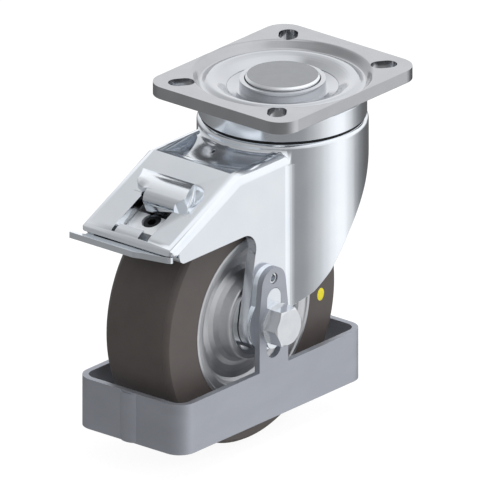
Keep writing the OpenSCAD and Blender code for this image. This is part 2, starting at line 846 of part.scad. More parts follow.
module bearing_spacer() {
    half = hub_w / 2 - bearing_w;
    color("#8d9094") axle_ring(tube_r + 2.6, tube_r + run_fit, -half, half);
}

module distance_rings() {
    color("#c8cbd0") both_sides() axle_ring(tube_r + 2.9, tube_r + run_fit, hub_w / 2, leg_in);
}

module axle_tube() {
    color("#8d9094") axle_ring(tube_r, bolt_r + 0.15, -leg_in, leg_in);
}

module hex_y(af, y0, y1) {
    translate([axle_x, y1, axle_z]) rotate([90, 0, 0]) cylinder(d = af / cos(30), h = y1 - y0, $fn = 6);
}

module axle_bolt() {
    y_head = -guard_y / 2 - washer_t;
    y_end = guard_y / 2 + washer_t + 10;
    color("#e3e6ea") {
        intersection() {
            hex_y(bolt_af, y_head - bolt_head_h, y_head);
            translate([axle_x, y_head - bolt_head_h, axle_z]) rotate([-90, 0, 0]) rotate_extrude()
                polygon([[0, 0], [bolt_af / 2, 0], [bolt_af / 2 + 3.2, 1.9], [bolt_af / 2 + 3.2, 20], [0, 20]]);
        }
        bar_y([axle_x, axle_z], bolt_r, y_head, y_end);
    }
}

module axle_nut() {
    y0 = guard_y / 2 + washer_t;
    color("#e3e6ea") difference() {
        intersection() {
            hex_y(bolt_af, y0, y0 + 8);
            translate([axle_x, y0 + 8, axle_z]) rotate([90, 0, 0]) rotate_extrude()
                polygon([[0, 0], [bolt_af / 2, 0], [bolt_af / 2 + 3.2, 1.9], [bolt_af / 2 + 3.2, 20], [0, 20]]);
        }
        bar_y([axle_x, axle_z], bolt_r, y0 - 1, y0 + 9);
    }
}

module axle_washers() {
    color("#d5d8dc") both_sides()
        axle_ring(washer_r, bolt_r + 0.2, guard_y / 2, guard_y / 2 + washer_t);
}

/* Foot guard */

// Outline of the tongue, drawn in X and Z about the axle, down to the height z0
module tongue_outline(z0) {
    tip_r = 8.6;
    tip_z = tongue_rise - tip_r;
    hw = tongue_w / 2;
    translate([0, tip_z]) circle(tip_r);
    polygon([
        [-hw, z0], [-hw, tip_z - 13], [-tip_r * cos(9), tip_z + tip_r * sin(9)],
        [tip_r * cos(9), tip_z + tip_r * sin(9)], [hw, tip_z - 13], [hw, z0]
    ]);
}

module guide_slot(w, up, down) {
    translate([0, up]) circle(d = w);
    translate([0, -down]) circle(d = w);
    translate([-w / 2, -down]) square([w, up + down]);
}

module guard_plan(w) {
    hx = guard_x / 2 - w;
    hy = guard_y / 2 - w;
    r = guard_corner_r - w;
    square([2 * (hx - r), 2 * hy], center = true);
    square([2 * hx, 2 * (hy - r)], center = true);
    for (sx = [-1, 1], sy = [-1, 1]) translate([sx * (hx - r), sy * (hy - r)]) circle(r);
}

module foot_guard() {
    z0 = -overall_h + guard_floor;
    low = guard_top_z - axle_z - 1;
    color(guard_zinc) difference() {
        union() {
            translate([axle_x, 0, z0]) linear_extrude(guard_h) difference() {
                guard_plan(0);
                guard_plan(guard_t);
            }
            translate([axle_x, 0, axle_z]) both_sides() between_y(guard_in, guard_y / 2)
                tongue_outline(low);
            // Weld bead that closes the bent bar at the middle of its front
            translate([axle_x - guard_x / 2 + 2, 0, z0 + 0.4]) intersection() {
                translate([3.4, 0, 0]) cylinder(r = 7.2, h = guard_h - 0.8);
                translate([-10, -5.2, 0]) cube([9, 10.4, guard_h]);
            }
        }
        translate([axle_x, 0, axle_z]) between_y(-40, 40) {
            guide_slot(guide_w, guide_half, guide_half);
            translate([0, tongue_rise - 5.4]) circle(pin_r + 0.2);
        }
    }
}

module guide_plates() {
    boss_w = guide_w - 0.2;
    color(zinc) translate([axle_x, 0, axle_z]) both_sides() difference() {
        union() {
            between_y(fork_half_w, guard_in) {
                tongue_outline(-8);
                circle(leg_end_r - 0.5);
            }
            between_y(guard_in, guard_y / 2) guide_slot(boss_w, guide_half - 0.1, 7.8);
        }
        between_y(0, 50) circle(bolt_r + 0.2);
        between_y(0, 50) translate([0, tongue_rise - 5.4]) circle(pin_r);
    }
}

module locating_pins() {
    color("#c8cbd0") translate([axle_x, 0, axle_z]) both_sides() between_y(fork_half_w, guard_y / 2 - 0.6)
        translate([0, tongue_rise - 5.4]) difference() {
            circle(pin_r);
            circle(pin_r - 0.9);
            translate([-0.35, 0]) square([0.7, 5]);
        }
}

top_plate();
kingpin();
race_ring();
kingpin_sleeve();
lower_race();
lock_ring();
kingpin_nut();
fork();
swivel_seal();
upper_balls_row();
lower_balls_row();
brake_lever_pin();
pedal_stub_pins();
pedal();
brake_lever();
brake_shoe();
adjusting_nut();
adjusting_screw();
spring_pin();
return_spring();
tread();
wheel_centre();
bearing_outer_rings();
bearing_seals();
bearing_inner_rings();
bearing_balls();
bearing_spacer();
distance_rings();
axle_tube();
axle_bolt();
axle_washers();
axle_nut();
foot_guard();
guide_plates();
locating_pins();
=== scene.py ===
"""Looks of a heavy-duty swivel castor with a pedal brake and a foot guard.

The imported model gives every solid. This script dresses each of them in the finish of the real
piece, gives the hood's bulge its true ends, adds the paint dot, and sets up the floor, light and
camera.
"""

from __future__ import annotations

import logging
import math
from dataclasses import dataclass
from enum import Enum
from typing import Any, Callable, Sequence

import bmesh
import bpy
from mathutils import Matrix, Vector


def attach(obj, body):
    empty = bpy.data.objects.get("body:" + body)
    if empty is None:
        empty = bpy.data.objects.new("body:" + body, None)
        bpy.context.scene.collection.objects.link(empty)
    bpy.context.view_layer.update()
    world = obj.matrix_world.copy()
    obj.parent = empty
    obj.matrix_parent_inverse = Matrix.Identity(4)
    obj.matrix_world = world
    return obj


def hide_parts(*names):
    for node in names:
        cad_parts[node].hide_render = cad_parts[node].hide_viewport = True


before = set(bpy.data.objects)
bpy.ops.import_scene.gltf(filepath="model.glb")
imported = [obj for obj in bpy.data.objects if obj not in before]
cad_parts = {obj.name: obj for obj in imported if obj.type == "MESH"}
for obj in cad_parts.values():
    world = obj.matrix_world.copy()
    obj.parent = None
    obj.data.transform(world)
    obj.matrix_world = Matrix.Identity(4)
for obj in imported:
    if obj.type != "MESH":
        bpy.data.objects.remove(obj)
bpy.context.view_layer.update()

LOG = logging.getLogger("castor")
MM = 0.001
# The axle's middle in the model's frame, in millimetres.
AXLE = (-45.0, 0.0, -102.5)
# The wave texture turns through this many radians for each unit of distance at a scale of 1.
WAVE_RATE = 20.0
# A noise texture mostly stays between these values; the roughness follows all of that range.
NOISE_RANGE = (0.3, 0.7)
# The colour turns from the shade to the tint over the middle of it.
NOISE_MIDDLE = (0.35, 0.65)

Socket = bpy.types.NodeSocket
Colour = tuple[float, float, float, float]


class Body(Enum):
    """The bodies that pieces ride on."""

    PLATE = "plate"
    FORK = "fork"
    WHEEL = "wheel"
    PEDAL = "pedal"
    BRAKE = "brake"


class Marks(Enum):
    """The lines that a tool leaves in a surface."""

    NONE = "none"
    SWIVEL = "rings about the swivel axis"
    AXLE = "rings about the axle"


def linear(hex_colour: str) -> Colour:
    """Turn an sRGB hex colour into linear light.

    Args:
        hex_colour: Six hex digits with a leading #.

    Returns:
        The linear red, green, blue and an alpha of 1.
    """
    parts = [int(hex_colour[i:i + 2], 16) / 255 for i in (1, 3, 5)]
    light = [c / 12.92 if c <= 0.04045 else ((c + 0.055) / 1.055) ** 2.4 for c in parts]
    return (light[0], light[1], light[2], 1.0)


def add_node(
    tree: bpy.types.NodeTree,
    kind: str,
    settings: dict[str, Any] | None = None,
    inputs: dict[str | int, Any] | None = None,
) -> bpy.types.Node:
    """Add one shader node with its settings and links.

    Args:
        tree: The node tree that takes the node.
        kind: The node's type name without its ShaderNode prefix.
        settings: Attributes of the node.
        inputs: Values or output sockets for its inputs, by name or place.

    Returns:
        The new node.
    """
    node = tree.nodes.new("ShaderNode" + kind)
    for name, value in (settings or {}).items():
        setattr(node, name, value)
    for name, value in (inputs or {}).items():
        if isinstance(value, bpy.types.NodeSocket):
            tree.links.new(value, node.inputs[name])
        else:
            node.inputs[name].default_value = value
    return node


def per_mm(size_mm: float) -> float:
    """Return the pattern scale, in repeats per metre, of a detail of that many millimetres."""
    return 1.0 / (size_mm * MM)


def ramp(
    tree: bpy.types.NodeTree,
    factor: Socket,
    stops: Sequence[tuple[float, Colour]],
    interpolation: str = "LINEAR",
) -> Socket:
    """Add a colour ramp.

    Args:
        tree: The node tree.
        factor: The value that picks the colour.
        stops: Positions and colours, in rising order.
        interpolation: The ramp's interpolation.

    Returns:
        The colour output.
    """
    node = add_node(tree, "ValToRGB", inputs={"Fac": factor})
    node.color_ramp.interpolation = interpolation
    elements = node.color_ramp.elements
    while len(elements) < len(stops):
        elements.new(0.5)
    for element, (position, colour) in zip(elements, stops):
        element.position = position
        element.color = colour
    return node.outputs["Color"]


@dataclass(frozen=True)
class Finish:
    """A surface finish: a base colour with faint mottling, fine relief and softened edges.

    Attributes:
        name: The material's name.
        tint: Main sRGB colour.
        shade: Second sRGB colour, which the mottling turns to.
        metallic: 1 for bare metal, 0 for plastics, rubber and paint.
        roughness: Mean roughness.
        roughness_spread: How far the roughness wanders either way.
        mottle_mm: Size of the colour and roughness patches.
        grain_mm: Size of the fine relief.
        grain_height_mm: Height of the fine relief.
        edge_mm: Radius of the softened edges.
        stretch: Pattern scale along X, Y and Z, for rolled surfaces.
        specular: Specular level of a surface that isn't metal.
        marks: The tool's lines.
        marks_mm: Distance from line to line.
        marks_height_mm: Depth of the lines.
    """

    name: str
    tint: str
    shade: str
    metallic: float = 0.0
    roughness: float = 0.5
    roughness_spread: float = 0.05
    mottle_mm: float = 9.0
    grain_mm: float = 0.6
    grain_height_mm: float = 0.01
    edge_mm: float = 0.2
    stretch: tuple[float, float, float] = (1.0, 1.0, 1.0)
    specular: float = 0.5
    marks: Marks = Marks.NONE
    marks_mm: float = 0.8
    marks_height_mm: float = 0.0015

    def build(self) -> bpy.types.Material:
        """Make the Blender material, or return it if it exists.

        Returns:
            The material.
        """
        known = bpy.data.materials.get(self.name)
        if known is not None:
            return known
        material = bpy.data.materials.new(self.name)
        material.use_nodes = True
        tree = material.node_tree
        tree.nodes.clear()
        spot = add_node(tree, "TexCoord").outputs["Object"]
        where = add_node(tree, "VectorMath", {"operation": "MULTIPLY"},
                         {0: spot, 1: self.stretch}).outputs["Vector"]
        patches = add_node(tree, "TexNoise", inputs={
            "Vector": where, "Scale": per_mm(self.mottle_mm), "Detail": 4.0, "Roughness": 0.55,
        }).outputs["Fac"]
        gloss = add_node(tree, "MapRange", inputs={
            "Value": patches, "From Min": NOISE_RANGE[0], "From Max": NOISE_RANGE[1],
            "To Min": self.roughness - self.roughness_spread,
            "To Max": self.roughness + self.roughness_spread,
        }).outputs["Result"]
        shader = add_node(tree, "BsdfPrincipled", inputs={
            "Base Color": self.colour(tree, spot, patches), "Roughness": gloss,
            "Metallic": self.metallic, "Normal": self.relief(tree, spot, where),
        })
        if not self.metallic:
            shader.inputs["Specular IOR Level"].default_value = self.specular
        add_node(tree, "OutputMaterial", inputs={"Surface": shader.outputs["BSDF"]})
        return material

    def colour(self, tree: bpy.types.NodeTree, spot: Socket, patches: Socket) -> Socket:
        """Mix the two colours by the mottling.

        Args:
            tree: The node tree.
            spot: The model's coordinates; not used here.
            patches: The mottling's value.

        Returns:
            The colour socket.
        """
        return ramp(tree, patches, list(zip(NOISE_MIDDLE, (linear(self.shade), linear(self.tint)))))

    def relief(self, tree: bpy.types.NodeTree, spot: Socket, where: Socket) -> Socket:
        """Fine relief and tool lines over softened edges.

        Args:
            tree: The node tree.
            spot: The model's coordinates.
            where: The same, stretched along the rolling lines.

        Returns:
            The normal socket.
        """
        soft = add_node(tree, "Bevel", {"samples": 6}, {"Radius": self.edge_mm * MM}).outputs["Normal"]
        fine = add_node(tree, "TexNoise", inputs={
            "Vector": where, "Scale": per_mm(self.grain_mm), "Detail": 2.0,
        }).outputs["Fac"]
        surface = add_node(tree, "Bump", inputs={
            "Height": fine, "Distance": self.grain_height_mm * MM, "Normal": soft,
        }).outputs["Normal"]
        if self.marks is Marks.NONE:
            return surface
        centre, along = ((0.0, 0.0, 0.0), "Z") if self.marks is Marks.SWIVEL else (AXLE, "Y")
        from_axis = add_node(tree, "VectorMath", {"operation": "SUBTRACT"}, {
            0: spot, 1: tuple(c * MM for c in centre),
        }).outputs["Vector"]
        lines = add_node(tree, "TexWave", {"wave_type": "RINGS", "rings_direction": along}, {
            "Vector": from_axis, "Scale": math.tau / WAVE_RATE / (self.marks_mm * MM),
            "Distortion": 0.6, "Detail": 1.0,
        }).outputs["Fac"]
        return add_node(tree, "Bump", inputs={
            "Height": lines, "Distance": self.marks_height_mm * MM, "Normal": surface,
        }).outputs["Normal"]


@dataclass(frozen=True)
class PaintedHighlightFinish(Finish):
    """A finish that turns to a second, lighter colour, a painted highlight, inside a radius or on faces
    that don't look straight up.

    Attributes:
        inner: sRGB colour of the painted highlight, inside the radius or off the flat top.
        inner_radius_mm: Radius about the swivel axis inside which the highlight is painted; 0 paints it on
            every face that doesn't look straight up instead.
        blend_mm: Half the width of the change at that radius.
        facing_up: How far up a normal points, from 0 to 1, where the outer and the inner colour start.
    """

    inner: str = "#f2f4f7"
    inner_radius_mm: float = 0.0
    blend_mm: float = 0.4
    facing_up: tuple[float, float] = (0.97, 0.90)

    def colour(self, tree: bpy.types.NodeTree, spot: Socket, patches: Socket) -> Socket:
        """Choose between the mottled outer colour and the lighter one, a painted highlight.

        Args:
            tree: The node tree.
            spot: The model's coordinates.
            patches: The mottling's value.

        Returns:
            The colour socket.
        """
        plain = super().colour(tree, spot, patches)
        # The second colour is a painted highlight: inside the radius, or on every face that doesn't look
        # straight up.
        if self.inner_radius_mm:
            flat = add_node(tree, "VectorMath", {"operation": "MULTIPLY"}, {0: spot, 1: (1, 1, 0)})
            away = add_node(tree, "VectorMath", {"operation": "LENGTH"}, {0: flat.outputs["Vector"]})
            share = add_node(tree, "MapRange", inputs={
                "Value": away.outputs["Value"],
                "From Min": (self.inner_radius_mm + self.blend_mm) * MM,
                "From Max": (self.inner_radius_mm - self.blend_mm) * MM,
            })
        else:
            facing = add_node(tree, "SeparateXYZ", inputs={
                "Vector": add_node(tree, "NewGeometry").outputs["True Normal"],
            })
            share = add_node(tree, "MapRange", inputs={
                "Value": facing.outputs["Z"],
                "From Min": self.facing_up[0], "From Max": self.facing_up[1],
            })
        # A Mix node's sockets 6 and 7 and its output 2 are the colours.
        return add_node(tree, "Mix", {"data_type": "RGBA"}, {
            "Factor": share.outputs["Result"], 6: plain, 7: linear(self.inner),
        }).outputs[2]


@dataclass(frozen=True)
class ThreadedFinish(Finish):
    """A fastener's finish with a screw thread on the part past the nut.

    Attributes:
        pitch_mm: Thread pitch.
        depth_mm: Thread depth.
        from_y_mm: Where the thread starts along Y.
    """

    pitch_mm: float = 1.5
    depth_mm: float = 0.5
    from_y_mm: float = 42.0

    def relief(self, tree: bpy.types.NodeTree, spot: Socket, where: Socket) -> Socket:
        """Cut the thread's ridges into the finish.

        Args:
            tree: The node tree.
            spot: The model's coordinates.
            where: The same, stretched along the rolling lines.

        Returns:
            The normal socket.
        """
        plain = super().relief(tree, spot, where)
        from_axle = add_node(tree, "VectorMath", {"operation": "SUBTRACT"}, {
            0: spot, 1: tuple(c * MM for c in AXLE),
        }).outputs["Vector"]
        parts = add_node(tree, "SeparateXYZ", inputs={"Vector": from_axle})
        angle = add_node(tree, "Math", {"operation": "ARCTAN2"}, {
            0: parts.outputs["Z"], 1: parts.outputs["X"],
        }).outputs["Value"]
        turns = add_node(tree, "Math", {"operation": "DIVIDE"}, {0: angle, 1: math.tau}).outputs["Value"]
        phase = add_node(tree, "Math", {"operation": "MULTIPLY_ADD"}, {
            0: parts.outputs["Y"], 1: per_mm(self.pitch_mm), 2: turns,
        }).outputs["Value"]
        ridge = add_node(tree, "Math", {"operation": "PINGPONG"}, {0: phase, 1: 0.5}).outputs["Value"]
        cut = add_node(tree, "Math", {"operation": "GREATER_THAN"}, {
            0: parts.outputs["Y"], 1: self.from_y_mm * MM,
        }).outputs["Value"]
        height = add_node(tree, "Math", {"operation": "MULTIPLY"}, {0: ridge, 1: cut}).outputs["Value"]
        # The ridge climbs to 0.5 in half a pitch, so its height counts twice.
        return add_node(tree, "Bump", inputs={
            "Height": height, "Distance": 2 * self.depth_mm * MM, "Normal": plain,
        }).outputs["Normal"]


# Bright zinc on pressed sheet: a near-white, cool mirror, with the faintest waviness of the press.
FORK_ZINC = Finish("zinc_plated_pressed_sheet", "#eff3f8", "#eaeff5", metallic=1.0, roughness=0.15,
                   roughness_spread=0.015, mottle_mm=16.0, grain_mm=3.0, grain_height_mm=0.0015)
# The plate's zinc is a mid grey on its flat; inside the recess a lighter colour is painted as the bowl's
# bright reflection.
PLATE_ZINC = PaintedHighlightFinish("zinc_plated_plate_painted_recess_highlight", "#bcbdc0", "#b7b8bb", metallic=1.0, roughness=0.15,
                           roughness_spread=0.015, mottle_mm=12.0, grain_mm=3.0, grain_height_mm=0.0015,
                           inner="#cfd1d5", inner_radius_mm=38.6)
# The kingpin's flat head is a dull grey; every face that doesn't look straight up, the rim too, is painted
# near-white as a highlight.
KINGPIN_STEEL = PaintedHighlightFinish("kingpin_steel_painted_side_highlight", "#939598", "#8e9093", metallic=1.0, roughness=0.2,
                              roughness_spread=0.02, mottle_mm=5.0, grain_mm=1.0, grain_height_mm=0.001,
                              marks=Marks.SWIVEL, marks_height_mm=0.0005)
# Zinc on the pressed lever under the hood: never buffed, so it spreads the light that reaches it.
LEVER_ZINC = Finish("zinc_plated_lever", "#f4f6f8", "#eceff2", metallic=0.7, roughness=0.4,
                    roughness_spread=0.03, mottle_mm=6.0, grain_mm=1.0, grain_height_mm=0.004)
# Hot-rolled flat bar under zinc: a satin grey that spreads the light, with rolling lines along the bar.
GUARD_ZINC = Finish("zinc_plated_flat_bar", "#bfc2ca", "#b9bcc4", metallic=1.0, roughness=0.60,
                    roughness_spread=0.03, mottle_mm=8.0, grain_mm=0.8, grain_height_mm=0.006,
                    stretch=(0.35, 0.35, 1.0))
# Bright zinc on fasteners: small faces that catch the light sharply.
BOLT_ZINC = ThreadedFinish("zinc_plated_fastener", "#e4e6e9", "#dcdfe3", metallic=1.0, roughness=0.17,
                           roughness_spread=0.02, mottle_mm=4.0, grain_mm=1.2, grain_height_mm=0.0015,
                           marks=Marks.AXLE, marks_mm=0.9, marks_height_mm=0.001)
# Turned steel has tool lines, drawn four times as coarse as real so that they show, and a darker grey.
TURNED_STEEL = Finish("turned_steel", "#939598", "#8c8e91", metallic=1.0, roughness=0.22,
                      roughness_spread=0.02, mottle_mm=5.0, grain_mm=1.0, grain_height_mm=0.002,
                      marks=Marks.SWIVEL)
# Black oxide leaves a thin dark skin with a slight oil gloss.
BLACK_OXIDE = Finish("black_oxide_steel", "#2b2d30", "#1f2124", metallic=0.6, roughness=0.42,
                     mottle_mm=2.5, grain_mm=0.4, grain_height_mm=0.006)
# Ground and polished bearing steel, close to a mirror.
POLISHED_STEEL = Finish("polished_bearing_steel", "#d9dadb", "#cfd1d3", metallic=1.0, roughness=0.14,
                        roughness_spread=0.02, mottle_mm=4.0, grain_mm=0.5, grain_height_mm=0.001)
# Drawn spring wire: dark, with a dull shine along the wire.
SPRING_WIRE = Finish("drawn_spring_wire", "#7d8085", "#6d7075", metallic=1.0, roughness=0.38,
                     mottle_mm=2.0, grain_mm=0.4, grain_height_mm=0.004, edge_mm=0.1)
# Moulded nitrile seal: matte black.
MOULDED_RUBBER = Finish("moulded_nitrile_rubber", "#242527", "#1c1d1f", roughness=0.62, mottle_mm=3.0,
                        grain_mm=0.4, grain_height_mm=0.008, specular=0.35)
# Cast polyurethane: a dense brown-grey elastomer, satin, with a faint bloom and fine mould grain.
CAST_POLYURETHANE = Finish("cast_polyurethane", "#5f5855", "#5a5350", roughness=0.46,
                           roughness_spread=0.04, mottle_mm=10.0, grain_mm=0.8, grain_height_mm=0.010,
                           edge_mm=0.5, specular=0.45)
# Die-cast aluminium keeps the fine grain of the die and a soft grey skin.
CAST_ALUMINIUM = Finish("die_cast_aluminium", "#d6d7d9", "#cecfd2", metallic=1.0, roughness=0.45,
                        roughness_spread=0.04, mottle_mm=6.0, grain_mm=0.8, grain_height_mm=0.015,
                        edge_mm=0.3)
# Brush-on marking paint: a thick opaque yellow drop with a soft gloss.
MARKING_PAINT = Finish("yellow_marking_paint", "#fff02a", "#fbe81e", roughness=0.35, mottle_mm=2.0,
                       grain_mm=0.5, grain_height_mm=0.01)


def dress(node: str, finish: Finish) -> bpy.types.Object:
    """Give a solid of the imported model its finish.

    Args:
        node: The solid's name.
        finish: The finish of the real piece.

    Returns:
        The solid's object.
    """
    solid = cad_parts[node]
    material = finish.build()
    if not solid.material_slots:
        solid.data.materials.append(material)
    for place in solid.material_slots:
        place.material = material
    return solid


def mesh_piece(name: str, fill: Callable[[bmesh.types.BMesh], None], finish: Finish, body: Body,
               smooth: bool = True) -> bpy.types.Object:
    """Make a new piece from mesh code.

    Args:
        name: The piece's name.
        fill: Function that draws into the mesh, in metres in the model's frame.
        finish: Its finish.
        body: The body that it rides on.
        smooth: Whether its faces are shaded smooth.

    Returns:
        The new object.
    """
    mesh = bpy.data.meshes.new(name)
    bm = bmesh.new()
    fill(bm)
    bmesh.ops.recalc_face_normals(bm, faces=bm.faces[:])
    for face in bm.faces:
        face.smooth = smooth
    bm.to_mesh(mesh)
    bm.free()
    piece = bpy.data.objects.new(name, mesh)
    bpy.context.scene.collection.objects.link(piece)
    mesh.materials.append(finish.build())
    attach(piece, body.value)
    return piece


def true_shading(piece: bpy.types.Object, sharp_deg: float = 25.0) -> None:
    """Shade a piece's flats flat and its bends smooth, with crisp edges between.

    Args:
        piece: The object.
        sharp_deg: Angle between faces from which an edge is crisp.
    """
    piece.data.shade_smooth()
    piece.data.set_sharp_from_angle(angle=math.radians(sharp_deg))
    weighted = piece.modifiers.new("flat_faces_lead", "WEIGHTED_NORMAL")
    weighted.mode = "FACE_AREA"
    weighted.weight = 100
    weighted.keep_sharp = True


@dataclass
class MountingPlate:
    """The top plate and what is fixed to it: kingpin, races, lock ring and nut."""

    def dress(self) -> None:
        """Give the plate's solids their finishes."""
        dress("top_plate", PLATE_ZINC)
        dress("race_ring", FORK_ZINC)
        dress("kingpin", KINGPIN_STEEL)
        for node in ("kingpin_sleeve", "lower_race", "lock_ring"):
            dress(node, TURNED_STEEL)
        dress("kingpin_nut", BOLT_ZINC)


@dataclass
class Fork:
    """The pressed fork with its ball rows and seal, and the hood's bulge in its true form.

    Places on the hood's slope are given as distance down it, Y, and height over it, in millimetres.

    Attributes:
        slope_from: The place on the slope that distances start from.
        slope_deg: The slope's tilt.
        crest_h: Height of the bulge.
        rise_r: Radius of its long rise.
        roll_r: Radius of its roll over the window.
        left_edge: Its left outline, as distances down the slope and Y.
        right_edge: Its sheared right outline.
        left_rounded: How many stretches of the left outline, from its start, are rounded.
        soft_mm: How far its left end is rounded.
        sink_mm: How far the skin is let into the slope, so that no gap shows round it.
        skirt_h: Height of its skirt's foot, which is under the slope.
        rise_steps: Steps from the start of the long rise to the crest.
        roll_steps: Steps over the roll.
        across_steps: Steps from the left outline to the right one.
        crowding: Power that crowds those steps towards the rounded left end.
        cut_down: Where the solid's plain bulge is cut off, as limits down the slope.
        cut_y: The same along Y.
        cut_h: The same in height.
        weld_m: Distance in metres within which the solid's points are one.
    """

    slope_from: tuple[float, float, float] = (-89.05, 0.0, -35.3)
    slope_deg: float = 25.0
    crest_h: float = 4.5
    rise_r: float = 25.0
    roll_r: float = 4.97
    left_edge: tuple[tuple[float, float], ...] = (
        (-14.4, 20.8), (-5.3, 17.6), (-2.6, 14.9), (-0.75, 10.5), (-0.7, 6.05), (4.97, 6.05),
    )
    right_edge: tuple[tuple[float, float], ...] = (
        (-14.4, -10.5), (-7.9, -13.6), (-2.2, -16.0), (-0.6, -16.2), (1.2, -14.6), (2.7, -13.1),
        (4.97, -12.6),
    )
    left_rounded: int = 3
    soft_mm: float = 5.0
    sink_mm: float = 0.04
    skirt_h: float = -3.6
    rise_steps: int = 28
    roll_steps: int = 16
    across_steps: int = 48
    crowding: float = 1.4
    cut_down: tuple[float, float] = (-18.0, 7.0)
    cut_y: tuple[float, float] = (-22.5, 23.5)
    cut_h: tuple[float, float] = (0.01, 9.0)
    weld_m: float = 1e-7

    def dress(self) -> None:
        """Give the fork's solids their finishes."""
        dress("fork", FORK_ZINC)
        dress("swivel_seal", MOULDED_RUBBER)
        for node in ("upper_balls_row", "lower_balls_row"):
            dress(node, POLISHED_STEEL)
        for node in ("brake_lever_pin", "pedal_stub_pins"):
            dress(node, TURNED_STEEL)

    def on_slope(self, down: float, y: float, height: float) -> Vector:
        """Return the place of a point given on the slope.

        Args:
            down: Distance down the slope.
            y: Place along Y.
            height: Height over the slope.

        Returns:
            The place in metres.
        """
        tilt = math.radians(self.slope_deg)
        x = self.slope_from[0] - down * math.cos(tilt) - height * math.sin(tilt)
        z = self.slope_from[2] - down * math.sin(tilt) + height * math.cos(tilt)
        return Vector((x, y, z)) * MM

    def height(self, down: float, from_left: float) -> float:
        """Return the bulge's height.

        Args:
            down: Distance down the slope.
            from_left: Distance from the left outline.

        Returns:
            The height over the slope in millimetres.
        """
        r = self.rise_r if down < 0 else self.roll_r
        side = self.crest_h - r + math.sqrt(max(r * r - down * down, 0.0))
        short = max(1 - from_left / self.soft_mm, 0.0)
        return side * math.sqrt(1 - short * short) - self.sink_mm

    def edge(self, points: Sequence[tuple[float, float]], down: float) -> float:
        """Return an outline's Y at a distance down the slope.

        Args:
            points: The outline, as distances down the slope and Y.
            down: The distance down the slope.

        Returns:
            The Y in millimetres.
        """
        for (s0, y0), (s1, y1) in zip(points, points[1:]):
            if down <= s1:
                return y0 + (y1 - y0) * (down - s0) / (s1 - s0)
        return points[-1][1]

    def from_left(self, down: float, y: float) -> float:
        """Return the distance from the rounded part of the left outline.

        Args:
            down: Distance down the slope.
            y: Place along Y.

        Returns:
            The distance in millimetres.
        """
        spot = Vector((down, y))
        near = []
        for start, end in zip(self.left_edge[:self.left_rounded], self.left_edge[1:]):
            a, b = Vector(start), Vector(end)
            share = min(max((spot - a).dot(b - a) / (b - a).length_squared, 0.0), 1.0)
            near.append((spot - a.lerp(b, share)).length)
        return min(near)

    def pressed_bulge(self) -> bpy.types.Object:
        """Make the bulge pressed out of the hood, with its rounded and its sheared end.

        Returns:
            The bulge's object.
        """
        def fill(bm: bmesh.types.BMesh) -> None:
            """Draw the skin over the slope and its skirt under it.

            Args:
                bm: The mesh to draw into.
            """
            start = self.left_edge[0][0]
            rise = [start * (1 - i / self.rise_steps) for i in range(self.rise_steps - 1)]
            corners = [down for down, _ in self.left_edge[self.left_rounded:self.left_rounded + 2]]
            roll = [self.roll_r * math.sin(math.pi / 2 * i / self.roll_steps)
                    for i in range(self.roll_steps + 1)]
            rows = []
            for down in rise + corners + roll:
                y0, y1 = self.edge(self.left_edge, down), self.edge(self.right_edge, down)
                row = []
                for j in range(self.across_steps + 1):
                    y = y0 + (y1 - y0) * (j / self.across_steps) ** self.crowding
                    height = self.height(down, self.from_left(down, y))
                    row.append(bm.verts.new(self.on_slope(down, y, height)))
                rows.append(row)
            for low, high in zip(rows, rows[1:]):
                for j in range(self.across_steps):
                    bm.faces.new((low[j], low[j + 1], high[j + 1], high[j]))
            loop = (rows[0] + [row[-1] for row in rows[1:]] + rows[-1][-2::-1]
                    + [row[0] for row in rows[-2:0:-1]])
            up = self.on_slope(0, 0, 1) - self.on_slope(0, 0, 0)
            foot = []
            for vert in loop:
                height = (vert.co - self.on_slope(0, 0, 0)).dot(up) / up.length_squared
                foot.append(bm.verts.new(vert.co + up * (self.skirt_h - height)))
            for i, vert in enumerate(loop):
                k = (i + 1) % len(loop)
                bm.faces.new((vert, loop[k], foot[k], foot[i]))
            bm.faces.new(foot)

        bulge = mesh_piece("hood_bulge", fill, FORK_ZINC, Body.FORK)
        true_shading(bulge)
        return bulge

    def cut_fork(self) -> bpy.types.Object:
        """Make the fork with the solid's plain bulge cut off flush with the slope.

        Returns:
            The fork's object, which stands for the solid.
        """
        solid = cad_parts["fork"]
        bm = bmesh.new()
        bm.from_mesh(solid.data)
        bmesh.ops.remove_doubles(bm, verts=bm.verts, dist=self.weld_m)
        for face in bm.faces:
            face.smooth = True
        mesh = bpy.data.meshes.new("pressed_fork")
        bm.to_mesh(mesh)
        bm.free()
        fork = bpy.data.objects.new("pressed_fork", mesh)
        cutter_mesh = bpy.data.meshes.new("cutter")
        box = bmesh.new()
        corners = [box.verts.new(self.on_slope(s, y, h))
                   for s in self.cut_down for y in self.cut_y for h in self.cut_h]
        bmesh.ops.convex_hull(box, input=corners)
        bmesh.ops.recalc_face_normals(box, faces=box.faces[:])
        box.to_mesh(cutter_mesh)
        box.free()
        cutter = bpy.data.objects.new("cutter", cutter_mesh)
        for thing in (fork, cutter):
            bpy.context.scene.collection.objects.link(thing)
        cut = fork.modifiers.new("cut", "BOOLEAN")
        cut.operation = "DIFFERENCE"
        cut.solver = "EXACT"
        cut.object = cutter
        bpy.context.view_layer.update()
        ready = bpy.data.meshes.new_from_object(fork.evaluated_get(bpy.context.evaluated_depsgraph_get()))
        fork.modifiers.clear()
        fork.data = ready
        bpy.data.objects.remove(cutter)
        ready.materials.clear()
        ready.materials.append(FORK_ZINC.build())
        true_shading(fork)
        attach(fork, Body.FORK.value)
        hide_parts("fork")
        return fork


@dataclass
class Brake:
    """The pedal, the lever under the hood, its shoe, screw and spring."""

    def dress(self) -> None:
        """Give the brake's solids their finishes."""
        dress("pedal", FORK_ZINC)
        dress("brake_lever", LEVER_ZINC)
        dress("brake_shoe", TURNED_STEEL)
        dress("adjusting_nut", BOLT_ZINC)
        dress("adjusting_screw", BLACK_OXIDE)
        dress("spring_pin", TURNED_STEEL)
        dress("return_spring", SPRING_WIRE)


